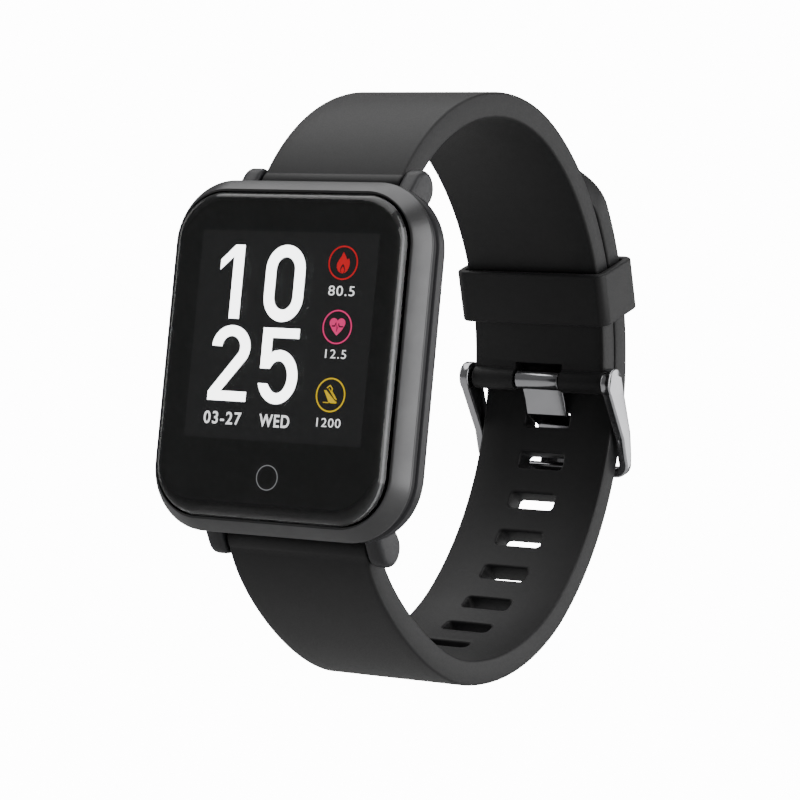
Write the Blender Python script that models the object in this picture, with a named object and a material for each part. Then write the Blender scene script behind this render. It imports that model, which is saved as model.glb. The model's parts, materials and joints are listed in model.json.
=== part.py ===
"""Square-faced smartwatch on a silicone strap, buckled into its wrist loop.

Frame: +Z towards 12 o'clock, +X to the viewer's right, the display faces -Y.
The origin is the centre of the sensor window's face, on the back of the case.
"""
from math import atan2, cos, hypot, pi, radians, sin

import bmesh
import bpy
from mathutils import Vector

MM = 0.001
GAP = 0.3                       # clearance between neighbouring pieces, mm

# Driving dimensions, mm
CASE_HALF_X = 17.0
CASE_HALF_Z = 19.95
CASE_CORNER = 7.4
GLASS_HALF_X = 15.15
GLASS_HALF_Z = 18.3
GLASS_CORNER = 5.8
GLASS_FRONT_Y = -10.7
GLASS_BACK_Y = -8.9
BEZEL_FRONT_Y = -9.4
BEZEL_BACK_Y = -7.0
BEZEL_SLOPE = 1.4               # how far the bezel's sides lean in towards the glass
MID_FRONT_Y = -6.7
MID_BACK_Y = -2.6
COVER_BACK_Y = -0.8
CAVITY_HALF_X = 13.9
CAVITY_HALF_Z = 14.6
CAVITY_CORNER = 7.2
SENSOR_RADIUS = 6.5
PLATEAU_RADIUS = 10.2
DISPLAY_CENTRE_Z = 2.2
DISPLAY_HALF = 11.7
TOUCH_KEY_Z = -13.5

LUG_AXIS_Y = -1.3
LUG_AXIS_Z = 20.15
LUG_RADIUS = 2.1
LUG_ROOT_YZ = (-4.4, 16.6)
LUG_ROOT_RADIUS = 1.6
LUG_INNER_X = 9.6
LUG_OUTER_X = 11.8
BAR_RADIUS = 0.9
BAR_BORE = 0.62
TIP_RADIUS = 0.4
TIP_END_X = 10.5
TIP_HOLE_X = 10.9

STRAP_HALF = 9.3
STRAP_THICK = 3.0
KNUCKLE_RADIUS = 2.0
SLOT_LENGTH = 6.3
SLOT_HEIGHT = 2.2
SLOT_PITCH = 5.7
SLOT_COUNT = 11
SLOTS_ABOVE_TONGUE = 3
TAIL_TIP_LENGTH = 7.6

# The back of the loop is one arc, so that the tail and the keeper slide along it
ARC_Y = 18.0
ARC_Z = 0.7
SEAM_RADIUS = 35.25
INNER_LAYER_RADIUS = SEAM_RADIUS - GAP / 2 - STRAP_THICK / 2
OUTER_LAYER_RADIUS = SEAM_RADIUS + GAP / 2 + STRAP_THICK / 2
INNER_ARC_START = 65.0          # degrees above the arc centre's +Y line
BUCKLE_ANGLE = 5.05
PIN_ARC_RADIUS = 32.6
TONGUE_SLOT_ANGLE = -3.0
OUTER_ARC_START = -45.0
TAIL_END_ANGLE = 52.5
LOOP_BOTTOM_YZ = (22.5, -33.55)
KEEPER_ANGLE = 24.3
KEEPER_HALF_HEIGHT = 3.35
KEEPER_WALL = 1.0
KEEPER_HALF_X = 10.6

TUBE_RADIUS = 1.45
TUBE_BORE = 0.95
NOTCH_HALF_X = 3.35
NOTCH_RADIUS = 2.2
PIN_RADIUS = 0.6
PIN_HALF_X = 10.4
BARREL_RADIUS = 1.25
BARREL_HALF_X = 3.05
ARM_INNER_X = 9.6
ARM_OUTER_X = 10.85
ARM_HEAD_RADIUS = 1.9
ARM_KNEE_YZ = (54.85, -2.55)
ARM_KNEE_RADIUS = 1.15
CLOSED_BAR_RADIUS = 0.7
CLOSED_BAR_ANGLE = -11.5
BUCKLE_CORNER = 1.8
TONGUE_HALF_X = 2.85
TONGUE_THICK = 0.6


def arc_point(radius, degrees):
    """Point (y, z) on a circle about the back arc's centre."""
    angle = radians(degrees)
    return (ARC_Y + radius * cos(angle), ARC_Z + radius * sin(angle))


PIN_YZ = arc_point(PIN_ARC_RADIUS, BUCKLE_ANGLE)
BAR_ARC_RADIUS = OUTER_LAYER_RADIUS + STRAP_THICK / 2 + GAP + CLOSED_BAR_RADIUS
CLOSED_BAR_YZ = arc_point(BAR_ARC_RADIUS, CLOSED_BAR_ANGLE)


# ---------------------------------------------------------------- scene helpers

def clear_scene():
    for obj in list(bpy.data.objects):
        bpy.data.objects.remove(obj, do_unlink=True)


def material(name, colour, roughness, metallic=0.0):
    mat = bpy.data.materials.new(name)
    mat.use_nodes = True
    shader = mat.node_tree.nodes["Principled BSDF"]
    shader.inputs["Base Color"].default_value = (*colour, 1.0)
    shader.inputs["Roughness"].default_value = roughness
    shader.inputs["Metallic"].default_value = metallic
    return mat


def make_object(name, rings, mat=None, closed=False):
    """Skin equal rings of (x, y, z) points in mm, with both ends capped unless closed."""
    mesh = bpy.data.meshes.new(name)
    bm = bmesh.new()
    loops = [[bm.verts.new(Vector(point) * MM) for point in ring] for ring in rings]
    pairs = list(zip(loops, loops[1:]))
    if closed:
        pairs.append((loops[-1], loops[0]))
    else:
        bm.faces.new(loops[0])
        bm.faces.new(loops[-1])
    for first, second in pairs:
        for i in range(len(first)):
            j = (i + 1) % len(first)
            bm.faces.new((first[i], first[j], second[j], second[i]))
    bmesh.ops.recalc_face_normals(bm, faces=bm.faces)
    bm.to_mesh(mesh)
    bm.free()
    mesh.shade_smooth()
    mesh.set_sharp_from_angle(angle=radians(35))
    obj = bpy.data.objects.new(name, mesh)
    bpy.context.collection.objects.link(obj)
    if mat:
        mesh.materials.append(mat)
    return obj


def combine(target, other, operation):
    """Boolean the target with a hidden helper object."""
    modifier = target.modifiers.new(other.name, "BOOLEAN")
    modifier.operation = operation
    modifier.object = other
    other.hide_render = True
    other.display_type = "WIRE"


def cut(target, *cutters):
    for cutter in cutters:
        combine(target, cutter, "DIFFERENCE")


def join(target, *others):
    for other in others:
        combine(target, other, "UNION")


def set_pivot(obj, point):
    """Move the object's origin to a point (x, y, z) in mm without moving its surface."""
    offset = Vector(point) * MM
    for vertex in obj.data.vertices:
        vertex.co -= offset
    obj.location = offset


# ---------------------------------------------------------------- outlines

def arc_points(centre, radius, start, end, steps):
    """Points (u, v) along an arc, angles in degrees."""
    points = []
    for i in range(steps + 1):
        angle = radians(start + (end - start) * i / steps)
        points.append((centre[0] + radius * cos(angle), centre[1] + radius * sin(angle)))
    return points


def rounded_outline(half_u, half_v, corner, steps=5):
    corner = min(corner, half_u, half_v)
    points = []
    for quarter, (side_u, side_v) in enumerate([(1, 1), (-1, 1), (-1, -1), (1, -1)]):
        centre = (side_u * (half_u - corner), side_v * (half_v - corner))
        points += arc_points(centre, corner, 90 * quarter, 90 * quarter + 90, steps)
    return points


def circle_outline(radius, steps=24):
    return arc_points((0, 0), radius, 0, 360 * (steps - 1) / steps, steps - 1)


def capsule_outline(start, radius_start, end, radius_end, steps=8):
    """Hull of two circles in the (y, z) plane."""
    length = hypot(end[0] - start[0], end[1] - start[1])
    heading = atan2(end[1] - start[1], end[0] - start[0]) * 180 / pi
    flare = 90 - atan2(radius_start - radius_end, length) * 180 / pi
    points = arc_points(start, radius_start, heading + flare, heading + 360 - flare, steps)
    return points + arc_points(end, radius_end, heading - flare, heading + flare, steps)


def plate(name, outline, y_start, y_end, mat=None, centre=(0, 0)):
    """Outline in (x, z), extruded along Y."""
    rings = [[(u + centre[0], y, v + centre[1]) for u, v in outline] for y in (y_start, y_end)]
    return make_object(name, rings, mat)


def stack(name, levels, mat=None):
    """Rounded rectangles (y, half_x, half_z, corner) skinned along Y."""
    rings = []
    for y, half_x, half_z, corner in levels:
        rings.append([(u, y, v) for u, v in rounded_outline(half_x, half_z, corner)])
    return make_object(name, rings, mat)


def bar_along_x(name, outline, x_start, x_end, mat=None):
    """Outline in (y, z), extruded along X."""
    rings = [[(x, u, v) for u, v in outline] for x in (x_start, x_end)]
    return make_object(name, rings, mat)


def rod(name, centre, radius, x_start, x_end, mat=None, steps=16):
    outline = [(u + centre[0], v + centre[1]) for u, v in circle_outline(radius, steps)]
    return bar_along_x(name, outline, x_start, x_end, mat)


def turned_x(name, centre, profile, mat=None, steps=16, closed=False):
    """Turn an (x, radius) profile about an X line through centre (y, z)."""
    rings = []
    for x, radius in profile:
        rings.append([(x, u + centre[0], v + centre[1]) for u, v in circle_outline(radius, steps)])
    return make_object(name, rings, mat, closed)


def sleeve(name, centre, outer, bore, x_start, x_end, mat=None):
    """Open tube along X."""
    profile = [(x_start, outer), (x_end, outer), (x_end, bore), (x_start, bore)]
    return turned_x(name, centre, profile, mat, closed=True)


def ring_plate(name, outer, inner, y_start, y_end, mat=None):
    """Flat ring between two (half_x, half_z, corner) outlines."""
    rings = []
    for y, size in ((y_start, outer), (y_end, outer), (y_end, inner), (y_start, inner)):
        rings.append([(u, y, v) for u, v in rounded_outline(*size)])
    return make_object(name, rings, mat, closed=True)


# ---------------------------------------------------------------- case

def make_cover_glass(mat):
    """Domed glass: flat in the middle, rolled over along its rim."""
    roll = 1.7
    levels = [(GLASS_BACK_Y, GLASS_HALF_X, GLASS_HALF_Z, GLASS_CORNER)]
    for degrees in (0, 25, 50, 72, 90):
        angle = radians(degrees)
        inset = roll * (1 - cos(angle))
        drop = (GLASS_BACK_Y - 0.5 - GLASS_FRONT_Y) * (1 - sin(angle))
        levels.append((GLASS_FRONT_Y + drop, GLASS_HALF_X - inset, GLASS_HALF_Z - inset,
                       GLASS_CORNER - inset))
    return stack("cover_glass", levels, mat)


def make_front_bezel(mat):
    body = stack("front_bezel", [
        (BEZEL_FRONT_Y, CASE_HALF_X - BEZEL_SLOPE, CASE_HALF_Z - BEZEL_SLOPE,
         CASE_CORNER - BEZEL_SLOPE),
        (BEZEL_BACK_Y - 0.4, CASE_HALF_X, CASE_HALF_Z, CASE_CORNER),
        (BEZEL_BACK_Y, CASE_HALF_X, CASE_HALF_Z, CASE_CORNER),
    ], mat)
    seat = stack("bezel_seat", [
        (BEZEL_FRONT_Y - 1, GLASS_HALF_X + GAP, GLASS_HALF_Z + GAP, GLASS_CORNER + GAP),
        (GLASS_BACK_Y + 0.9, GLASS_HALF_X + GAP, GLASS_HALF_Z + GAP, GLASS_CORNER + GAP),
    ])
    window = stack("bezel_window", [
        (BEZEL_FRONT_Y - 2, GLASS_HALF_X - 1.2, GLASS_HALF_Z - 1.2, GLASS_CORNER - 1.2),
        (BEZEL_BACK_Y + 1, GLASS_HALF_X - 1.2, GLASS_HALF_Z - 1.2, GLASS_CORNER - 1.2),
    ])
    cut(body, seat, window)


def make_mid_case(mat):
    """Rear case with four lugs, screw bosses and a recess at each end for the strap."""
    body = stack("mid_case", [
        (MID_FRONT_Y, CASE_HALF_X - 0.55, CASE_HALF_Z - 0.55, CASE_CORNER - 0.55),
        (MID_FRONT_Y + 0.9, CASE_HALF_X - 0.55, CASE_HALF_Z - 0.55, CASE_CORNER - 0.55),
        (MID_FRONT_Y + 1.1, CASE_HALF_X - 0.2, CASE_HALF_Z - 0.2, CASE_CORNER - 0.2),
        (MID_FRONT_Y + 2.3, CASE_HALF_X - 0.25, CASE_HALF_Z - 0.25, CASE_CORNER - 0.25),
        (MID_FRONT_Y + 3.3, CASE_HALF_X - 0.7, CASE_HALF_Z - 0.8, CASE_CORNER - 0.5),
        (MID_BACK_Y, CASE_HALF_X - 1.3, CASE_HALF_Z - 2.0, CASE_CORNER - 1.0),
    ], mat)
    for side_z in (-1, 1):
        for side_x in (-1, 1):
            join(body, lug(side_x, side_z))
    cavity = stack("mid_cavity", [
        (MID_FRONT_Y - 1, CAVITY_HALF_X, CAVITY_HALF_Z, CAVITY_CORNER),
        (MID_BACK_Y + 1, CAVITY_HALF_X, CAVITY_HALF_Z, CAVITY_CORNER),
    ])
    cut(body, cavity)
    for number, (x, z) in enumerate(SCREW_PLACES, 1):
        join(body, plate(f"boss_{number}", circle_outline(2.0, 16), -5.6, MID_BACK_Y - 0.05,
                         centre=(x, z)))
    for number, (x, z) in enumerate(SCREW_PLACES, 1):
        cut(body, plate(f"boss_hole_{number}", circle_outline(0.8, 12), -5.2, MID_BACK_Y + 1,
                        centre=(x, z)))
    cut(body, ring_plate("gasket_groove",
                         (CAVITY_HALF_X + 1.35, CAVITY_HALF_Z + 1.35, CAVITY_CORNER + 1.35),
                         (CAVITY_HALF_X + 0.35, CAVITY_HALF_Z + 0.35, CAVITY_CORNER + 0.35),
                         MID_BACK_Y - 0.65, MID_BACK_Y + 1))
    for side_z in (-1, 1):
        z_middle = side_z * (LUG_AXIS_Z + 0.2)
        recess = plate(f"strap_recess_{side_z}", rounded_outline(LUG_INNER_X, 2.6, 0.3, 2),
                       LUG_AXIS_Y - 2.4, 1, centre=(0, z_middle))
        hole = rod(f"bar_hole_{side_z}", (LUG_AXIS_Y, side_z * LUG_AXIS_Z), TIP_RADIUS + GAP,
                   -TIP_HOLE_X, TIP_HOLE_X, steps=12)
        cut(body, recess, hole)


def lug(side_x, side_z):
    """Rounded stub that holds one end of a spring bar."""
    x_inner = side_x * LUG_INNER_X
    x_outer = side_x * LUG_OUTER_X
    outline = capsule_outline((LUG_ROOT_YZ[0], side_z * LUG_ROOT_YZ[1]), LUG_ROOT_RADIUS,
                              (LUG_AXIS_Y, side_z * LUG_AXIS_Z), LUG_RADIUS)
    stub = bar_along_x(f"lug_{side_x}_{side_z}", outline, x_inner, x_outer)
    bevel = stub.modifiers.new("rounding", "BEVEL")
    bevel.width = 0.5 * MM
    bevel.segments = 2
    bevel.limit_method = "ANGLE"
    bevel.angle_limit = radians(50)
    return stub


SCREW_PLACES = [(11.4, 12.2), (-11.4, 12.2), (-11.4, -12.2), (11.4, -12.2)]
CONTACT_PLACES = [(-2.6, -12.6), (2.6, -12.6)]


def make_rear_cover(mat):
    body = stack("rear_cover", [
        (MID_BACK_Y + GAP, 15.5, 16.0, 6.0),
        (MID_BACK_Y + 0.9, 15.2, 15.8, 5.8),
        (COVER_BACK_Y, 14.2, 14.9, 5.0),
    ], mat)
    plateau = plate("plateau", circle_outline(PLATEAU_RADIUS, 32), -1.6, -0.05)
    plateau_edge = plateau.modifiers.new("soft_edge", "BEVEL")
    plateau_edge.width = 0.4 * MM
    plateau_edge.segments = 2
    plateau_edge.limit_method = "ANGLE"
    join(body, plateau)
    pocket = plate("sensor_pocket", circle_outline(8.9, 32), -4, -0.95)
    window_hole = plate("window_hole", circle_outline(SENSOR_RADIUS + GAP, 32), -2, 1)
    cut(body, pocket, window_hole)
    for number, (x, z) in enumerate(SCREW_PLACES, 1):
        cut(body, plate(f"cover_hole_{number}", circle_outline(0.8, 12), -4, 1, centre=(x, z)),
            plate(f"head_sink_{number}", circle_outline(1.35, 16), -1.6, 1, centre=(x, z)))
    for number, (x, z) in enumerate(CONTACT_PLACES, 1):
        cut(body, plate(f"contact_hole_{number}", circle_outline(1.2, 16), -4, 1, centre=(x, z)))


def make_screws(mat):
    """Flat-headed screws with a cross recess, one through each corner of the rear cover."""
    for number, (x, z) in enumerate(SCREW_PLACES, 1):
        rings = []
        for y, radius in ((-4.6, 0.45), (-1.35, 0.45), (-1.3, 1.0), (-0.95, 1.0)):
            rings.append([(u + x, y, v + z) for u, v in circle_outline(radius, 12)])
        screw = make_object(f"back_screw_{number}", rings, mat)
        for half_x, half_z in ((0.6, 0.14), (0.14, 0.6)):
            outline = rounded_outline(half_x, half_z, 0.02, 1)
            cut(screw, plate(f"recess_{number}_{half_x}", outline, -1.12, 0, centre=(x, z)))


def make_inner_parts(mats):
    """Everything that sits between the glass and the rear cover."""
    ring_plate("glass_adhesive", (GLASS_HALF_X - 0.1, GLASS_HALF_Z - 0.1, GLASS_CORNER - 0.1),
               (GLASS_HALF_X - 1.1, GLASS_HALF_Z - 1.1, GLASS_CORNER - 1.1),
               GLASS_BACK_Y + GAP, GLASS_BACK_Y + 0.6, mats["adhesive"])
    plate("display_module", rounded_outline(DISPLAY_HALF + 0.9, DISPLAY_HALF + 1.0, 0.6, 2),
          GLASS_BACK_Y + GAP, GLASS_BACK_Y + 1.7, mats["display"], centre=(0, DISPLAY_CENTRE_Z))
    plate("touch_key_pad", circle_outline(2.0, 20), GLASS_BACK_Y + GAP, GLASS_BACK_Y + 0.6,
          mats["copper"], centre=(0, TOUCH_KEY_Z))
    plate("main_board", chamfered_outline(13.2, 14.0, 5.2), -6.6, -5.9, mats["board"])
    plate("processor_shield", rounded_outline(4.0, 4.5, 0.4, 2), -5.6, -4.4, mats["steel"],
          centre=(8.6, 5.0))
    plate("battery", rounded_outline(7.4, 9.2, 1.0, 3), -5.6, -2.6, mats["battery"],
          centre=(-5.4, 0.4))
    plate("vibration_motor", circle_outline(3.6, 24), -5.6, -3.2, mats["steel"],
          centre=(8.4, -5.6))
    plate("sensor_board", circle_outline(8.3, 28), -2.1, -1.7, mats["board"])
    plate("sensor_led", rounded_outline(1.3, 0.8, 0.2, 2), -1.4, -1.0, mats["led"])
    for number, side in ((1, -1), (2, 1)):
        plate(f"photodiode_{number}", rounded_outline(1.2, 1.2, 0.2, 2), -1.4, -1.0,
              mats["silicon"], centre=(side * 3.9, 0))
    make_display_flex(mats["flex"])
    grow = (CAVITY_HALF_X + 1.15, CAVITY_HALF_Z + 1.15, CAVITY_CORNER + 1.15)
    shrink = (CAVITY_HALF_X + 0.55, CAVITY_HALF_Z + 0.55, CAVITY_CORNER + 0.55)
    ring_plate("case_gasket", grow, shrink, MID_BACK_Y - 0.45, MID_BACK_Y + 0.1, mats["rubber"])


def chamfered_outline(half_u, half_v, chamfer):
    """Rectangle with cut corners."""
    points = []
    for side_u, side_v in ((1, 1), (-1, 1), (-1, -1), (1, -1)):
        pair = [(side_u * half_u, side_v * (half_v - chamfer)),
                (side_u * (half_u - chamfer), side_v * half_v)]
        points += pair if side_u == side_v else pair[::-1]
    return points


def make_display_flex(mat):
    """Flat cable from the display's lower edge, folded back onto the main board."""
    centre_line = [(-7.9, -10.8), (-7.9, -15.6), (-7.5, -16.2), (-7.1, -15.6), (-7.1, -11.5)]
    ribbon = thicken(centre_line, 0.16)
    bar_along_x("display_flex", ribbon, -3.4, 3.4, mat)


def thicken(line, thickness):
    """Closed outline around an open (y, z) polyline."""
    left = []
    right = []
    for i, point in enumerate(line):
        before = line[max(i - 1, 0)]
        after = line[min(i + 1, len(line) - 1)]
        tangent = Vector((after[0] - before[0], after[1] - before[1])).normalized()
        normal = (tangent.y * thickness / 2, -tangent.x * thickness / 2)
        left.append((point[0] + normal[0], point[1] + normal[1]))
        right.append((point[0] - normal[0], point[1] - normal[1]))
    return left + right[::-1]


# ---------------------------------------------------------------- strap

def bezier(points, steps):
    """Points of a cubic curve through (y, z) controls."""
    curve = []
    for i in range(steps + 1):
        t = i / steps
        weights = ((1 - t) ** 3, 3 * t * (1 - t) ** 2, 3 * t * t * (1 - t), t ** 3)
        curve.append(tuple(sum(w * p[k] for w, p in zip(weights, points)) for k in (0, 1)))
    return curve


def back_arc(radius, start, end, steps):
    return arc_points((ARC_Y, ARC_Z), radius, start, end, steps)


def ahead(point, degrees, distance):
    """Point a distance away from another along a heading in the (y, z) plane."""
    heading = radians(degrees)
    return (point[0] + distance * cos(heading), point[1] + distance * sin(heading))


def upper_path():
    """Centre line of the 12 o'clock half, from its spring bar to the buckle pin."""
    start = (LUG_AXIS_Y, LUG_AXIS_Z)
    end = arc_point(INNER_LAYER_RADIUS, INNER_ARC_START)
    controls = [start, ahead(start, 62, 12.7), ahead(end, INNER_ARC_START + 90, 13.4), end]
    return bezier(controls, 22) + back_arc(INNER_LAYER_RADIUS, INNER_ARC_START,
                                           BUCKLE_ANGLE + 0.6, 24)[1:]


def lower_path():
    """Centre line of the 6 o'clock half, from its spring bar to the tail's tip."""
    start = (LUG_AXIS_Y, -LUG_AXIS_Z)
    end = arc_point(OUTER_LAYER_RADIUS, OUTER_ARC_START)
    first = [start, ahead(start, -68, 6), ahead(LOOP_BOTTOM_YZ, 180, 8.5), LOOP_BOTTOM_YZ]
    second = [LOOP_BOTTOM_YZ, ahead(LOOP_BOTTOM_YZ, 0, 11.4),
              ahead(end, OUTER_ARC_START - 90, 4), end]
    tail = back_arc(OUTER_LAYER_RADIUS, OUTER_ARC_START, TAIL_END_ANGLE, 44)
    return bezier(first, 14) + bezier(second, 14)[1:] + tail[1:]


def path_frames(path):
    """Points with unit tangents and the distance run so far."""
    frames = []
    run = 0.0
    for i, point in enumerate(path):
        before = Vector(path[max(i - 1, 0)])
        after = Vector(path[min(i + 1, len(path) - 1)])
        if i:
            run += (Vector(point) - before).length
        frames.append((Vector(point), (after - before).normalized(), run))
    return frames


def frame_at(frames, distance):
    """Point and tangent at a distance along the path."""
    for first, second in zip(frames, frames[1:]):
        if first[2] <= distance <= second[2]:
            share = (distance - first[2]) / (second[2] - first[2])
            return first[0].lerp(second[0], share), first[1].lerp(second[1], share).normalized()
    return frames[-1][0], frames[-1][1]


def strap_band(name, frames, tip_length, mat):
    """Sweep a flat section along the path, with an elliptical end if it has a tip length."""
    total = frames[-1][2]
    rings = []
    for point, tangent, run in frames:
        into_tip = max(0.0, 1 - (total - run) / tip_length) if tip_length else 0.0
        half = STRAP_HALF * (1 - 0.96 * into_tip ** 2) ** 0.5
        section = rounded_outline(half, STRAP_THICK / 2, 0.3, 2)
        normal = Vector((tangent.y, -tangent.x))
        rings.append([(u, point.x + v * normal.x, point.y + v * normal.y) for u, v in section])
    return make_object(name, rings, mat)


def make_upper_strap(mat):
    frames = path_frames(upper_path())
    strap = strap_band("strap_upper", frames, 0, mat)
    axis = (LUG_AXIS_Y, LUG_AXIS_Z)
    join(strap, rod("upper_knuckle", axis, KNUCKLE_RADIUS, -STRAP_HALF, STRAP_HALF),
         rod("buckle_tube", PIN_YZ, TUBE_RADIUS, -STRAP_HALF, STRAP_HALF))
    notch = capsule_outline(PIN_YZ, NOTCH_RADIUS, arc_point(PIN_ARC_RADIUS, 0), NOTCH_RADIUS)
    cut(strap, rod("upper_bore", axis, BAR_RADIUS + GAP, -15, 15),
        rod("tube_bore", PIN_YZ, TUBE_BORE, -15, 15),
        bar_along_x("tongue_notch", notch, -NOTCH_HALF_X, NOTCH_HALF_X))
    set_pivot(strap, (0, *axis))


def make_lower_strap(mat):
    frames = path_frames(lower_path())
    strap = strap_band("strap_lower", frames, TAIL_TIP_LENGTH, mat)
    axis = (LUG_AXIS_Y, -LUG_AXIS_Z)
    join(strap, rod("lower_knuckle", axis, KNUCKLE_RADIUS, -STRAP_HALF, STRAP_HALF))
    cut(strap, rod("lower_bore", axis, BAR_RADIUS + GAP, -15, 15))
    arc_left = radians(TAIL_END_ANGLE - TONGUE_SLOT_ANGLE) * OUTER_LAYER_RADIUS
    tongue_run = frames[-1][2] - arc_left
    for number in range(SLOT_COUNT):
        distance = tongue_run + (SLOTS_ABOVE_TONGUE - number) * SLOT_PITCH
        point, tangent = frame_at(frames, distance)
        normal = Vector((tangent.y, -tangent.x))
        rings = []
        for depth in (-STRAP_THICK, STRAP_THICK):
            ring = []
            for u, v in rounded_outline(SLOT_LENGTH / 2, SLOT_HEIGHT / 2, 0.5, 2):
                place = point + tangent * v + normal * depth
                ring.append((u, place.x, place.y))
            rings.append(ring)
        cut(strap, make_object(f"slot_{number}", rings))
    set_pivot(strap, (0, *axis))


def make_keeper(mat):
    """Straight-sided loop that holds the tail against the inner layer."""
    opening = (SEAM_RADIUS - STRAP_THICK - GAP / 2 - 1.5 * GAP, SEAM_RADIUS + STRAP_THICK + 1.5 * GAP)
    middle = sum(opening) / 2
    half_open = (opening[1] - opening[0]) / 2
    rings = []
    for height, half_x, half_r, corner in (
            (-KEEPER_HALF_HEIGHT, KEEPER_HALF_X, half_open + KEEPER_WALL, 1.3),
            (KEEPER_HALF_HEIGHT, KEEPER_HALF_X, half_open + KEEPER_WALL, 1.3),
            (KEEPER_HALF_HEIGHT, KEEPER_HALF_X - KEEPER_WALL, half_open, 0.5),
            (-KEEPER_HALF_HEIGHT, KEEPER_HALF_X - KEEPER_WALL, half_open, 0.5)):
        ring = []
        for u, v in rounded_outline(half_x, half_r, corner):
            level = ahead(arc_point(middle + v, KEEPER_ANGLE), KEEPER_ANGLE + 90, height)
            ring.append((u, *level))
        rings.append(ring)
    keeper = make_object("keeper_loop", rings, mat, closed=True)
    set_pivot(keeper, (0, ARC_Y, ARC_Z))


# ---------------------------------------------------------------- buckle

def arm_line():
    """Points down an arm: (y, z), tangent and half depth, from the pin to the closed bar."""
    corners = [(PIN_YZ, ARM_HEAD_RADIUS), (ARM_KNEE_YZ, ARM_KNEE_RADIUS),
               (CLOSED_BAR_YZ, CLOSED_BAR_RADIUS)]
    line = []
    for (start, deep), (end, shallow) in zip(corners, corners[1:]):
        for i in range(6):
            share = i / 6
            line.append((Vector(start).lerp(Vector(end), share), deep + (shallow - deep) * share))
    line.append((Vector(CLOSED_BAR_YZ), CLOSED_BAR_RADIUS))
    frames = path_frames([tuple(point) for point, _ in line])
    return [(frame[0], frame[1], half) for frame, (_, half) in zip(frames, line)]


def make_buckle(steel):
    """U-shaped frame: two flat arms that taper into the closed bar round rounded corners."""
    half_wide = (ARM_OUTER_X - ARM_INNER_X) / 2
    middle_x = ARM_INNER_X + half_wide
    turn = BUCKLE_CORNER - half_wide
    line = arm_line()
    end, forward, _ = line[-1]
    rings = []
    for point, tangent, half in line:
        if (end - point).length > BUCKLE_CORNER:
            rings.append(arm_ring(middle_x, point, (1, 0), tangent, half, half_wide))
    for degrees in (0, 30, 60, 90):
        lean = radians(degrees)
        point = end + forward * turn * (sin(lean) - 1)
        across = (cos(lean), sin(lean))
        rings.append(arm_ring(middle_x - turn * (1 - cos(lean)), point, across, forward,
                              CLOSED_BAR_RADIUS, half_wide))
    mirrored = [[(-x, y, z) for x, y, z in ring] for ring in reversed(rings)]
    frame = make_object("buckle_frame", rings + mirrored, steel)
    for side in (-1, 1):
        join(frame, rod(f"arm_head_{side}", PIN_YZ, ARM_HEAD_RADIUS, side * ARM_INNER_X,
                        side * ARM_OUTER_X, steps=24))
    cut(frame, rod("pin_hole", PIN_YZ, PIN_RADIUS + 0.25, -PIN_HALF_X - 0.1, PIN_HALF_X + 0.1))
    set_pivot(frame, (0, *PIN_YZ))
    pin = rod("buckle_pin", PIN_YZ, PIN_RADIUS, -PIN_HALF_X, PIN_HALF_X, steel)
    set_pivot(pin, (0, *PIN_YZ))
    make_tongue(steel)


def arm_ring(x, point, across, tangent, half_deep, half_wide):
    """Section of the frame: across is its sideways direction as (x, along the arm)."""
    normal = Vector((tangent.y, -tangent.x))
    ring = []
    for u, v in rounded_outline(half_wide, half_deep, 0.35, 2):
        place = point + tangent * u * across[1] + normal * v
        ring.append((x + u * across[0], place.x, place.y))
    return ring


def make_tongue(steel):
    """Barrel on the pin with a flat prong that passes through a slot to the closed bar."""
    barrel = rod("buckle_tongue", PIN_YZ, BARREL_RADIUS, -BARREL_HALF_X, BARREL_HALF_X, steel)
    slot_y, slot_z = arc_point(OUTER_LAYER_RADIUS, TONGUE_SLOT_ANGLE)
    bar_y, bar_z = CLOSED_BAR_YZ
    rest = CLOSED_BAR_RADIUS + GAP + TONGUE_THICK / 2 + 0.1
    route = [(PIN_YZ[0] + 0.8, PIN_YZ[1] - 0.6), (slot_y - 2.35, slot_z + 2.4),
             (slot_y - 1.65, slot_z + 0.85), (slot_y + 1.45, slot_z - 0.35),
             (slot_y + 2.85, slot_z - 2.0), (bar_y + rest, bar_z + 1.0), (bar_y + rest, bar_z - 0.9)]
    prong = bar_along_x("prong", thicken(route, TONGUE_THICK), -TONGUE_HALF_X, TONGUE_HALF_X)
    join(barrel, prong)
    cut(barrel, rod("barrel_bore", PIN_YZ, PIN_RADIUS + 0.2, -15, 15))
    set_pivot(barrel, (0, *PIN_YZ))


# ---------------------------------------------------------------- spring bars

def make_spring_bar(place, side_z, steel):
    """Tube, two sprung tips and the coil that pushes them out into the lugs."""
    axis = (LUG_AXIS_Y, side_z * LUG_AXIS_Z)
    sleeve(f"spring_bar_{place}_tube", axis, BAR_RADIUS, BAR_BORE, -9.0, 9.0, steel)
    for hand, side in (("left", -1), ("right", 1)):
        profile = [(side * x, radius) for x, radius in
                   ((6.0, TIP_RADIUS), (TIP_END_X - 0.4, TIP_RADIUS), (TIP_END_X, TIP_RADIUS / 2))]
        tip = turned_x(f"spring_bar_{place}_tip_{hand}", axis, profile, steel, steps=12)
        set_pivot(tip, (side * TIP_END_X, *axis))
    make_coil(f"spring_bar_{place}_spring", axis, 5.6, 7, 0.36, 0.12, steel)


def make_coil(name, axis, half_length, turns, radius, wire, mat):
    """Round wire wound about an X line."""
    per_turn = 10
    rings = []
    for i in range(turns * per_turn + 1):
        angle = 2 * pi * i / per_turn
        x = -half_length + 2 * half_length * i / (turns * per_turn)
        ring = []
        for u, v in circle_outline(wire, 5):
            reach = radius + u
            ring.append((x + v, axis[0] + reach * cos(angle), axis[1] + reach * sin(angle)))
        rings.append(ring)
    return make_object(name, rings, mat)


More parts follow.
